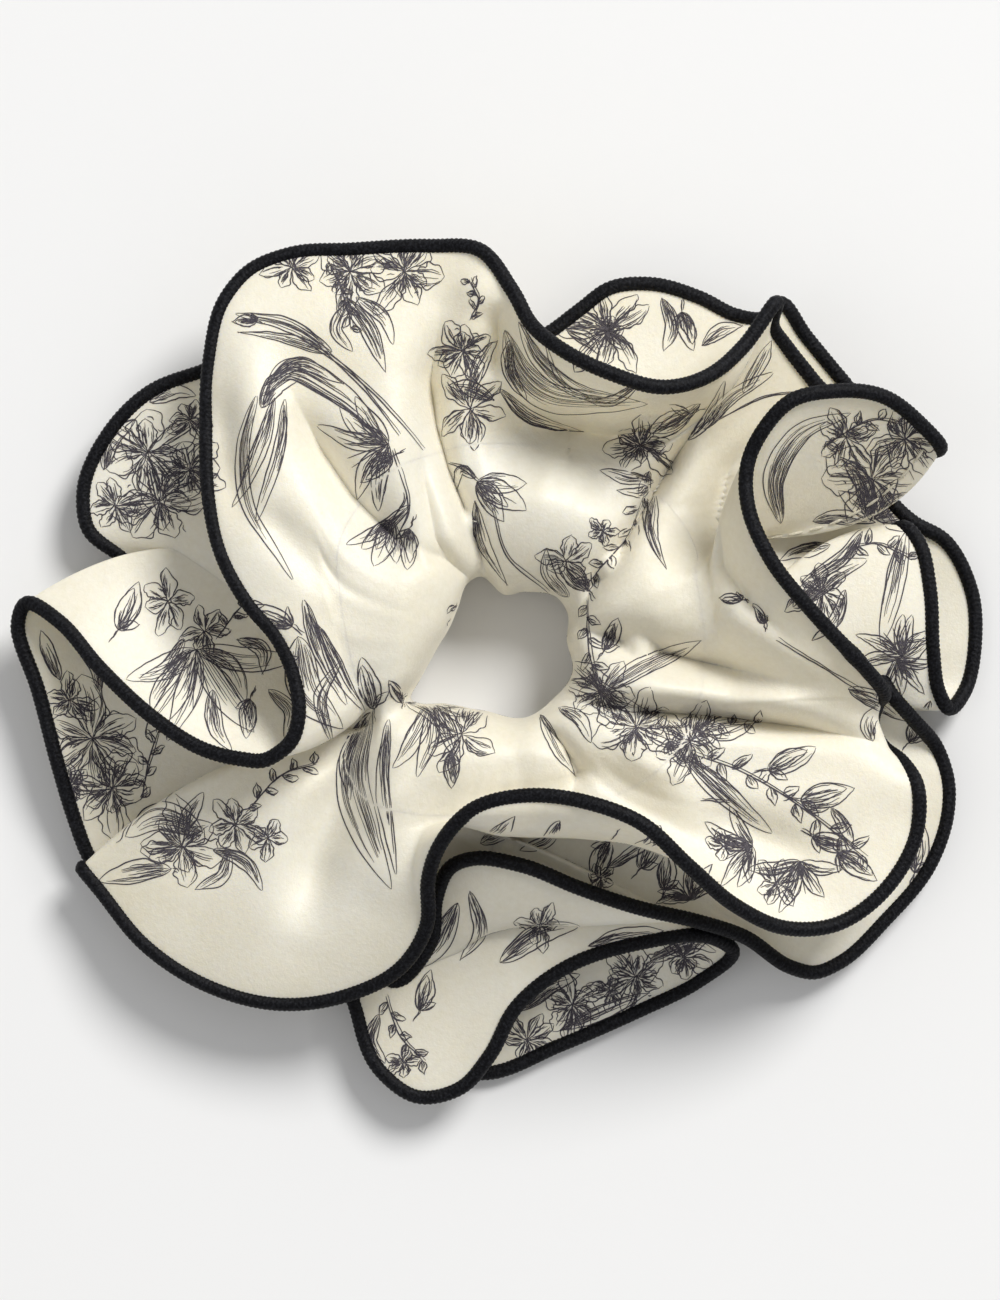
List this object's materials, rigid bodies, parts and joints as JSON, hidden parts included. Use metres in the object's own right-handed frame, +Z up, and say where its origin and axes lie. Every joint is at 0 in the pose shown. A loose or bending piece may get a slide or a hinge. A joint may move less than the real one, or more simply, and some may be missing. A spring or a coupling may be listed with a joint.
{
  "type": "scrunchie",
  "caption": "Double-ruffle satin scrunchie: a gathered casing round a hidden elastic ring, with an upper and a lower flounce, both black-bound at the hem.",
  "frame": {"origin": "on the table, below the middle of the whole scrunchie's box", "axes": "+Z up from the table, along the hair opening; +X and +Y are the picture's right and up; the ring is longest along X and stretches along +X"},
  "size_m": [0.1586, 0.142, 0.0404],
  "materials": {
    "satin": "ivory satin, printed with dark line drawings of flowers and leaves",
    "hem_thread": "black overlocked thread, slightly glossy",
    "sewing_thread": "ivory thread",
    "elastic": "white braided elastic",
    "tack_thread": "white thread"
  },
  "bodies": {
    "left_half": {"elastic_left": "elastic", "casing_left": "satin", "upper_ruffle_left": "satin", "lower_ruffle_left": "satin", "upper_hem_binding_left": "hem_thread", "lower_hem_binding_left": "hem_thread", "channel_stitches_left": "sewing_thread", "elastic_tack_stitches": "tack_thread"},
    "right_half": {"elastic_right": "elastic", "casing_right": "satin", "upper_ruffle_right": "satin", "lower_ruffle_right": "satin", "upper_hem_binding_right": "hem_thread", "lower_hem_binding_right": "hem_thread", "channel_stitches_right": "sewing_thread", "closing_seam_stitches": "sewing_thread"}
  },
  "joints": [
    {"name": "stretch", "type": "slide", "parent": "left_half", "child": "right_half", "axis": [1, 0, 0], "range_m": [0, 0.06], "stiffness_N_per_m": 50}
  ]
}
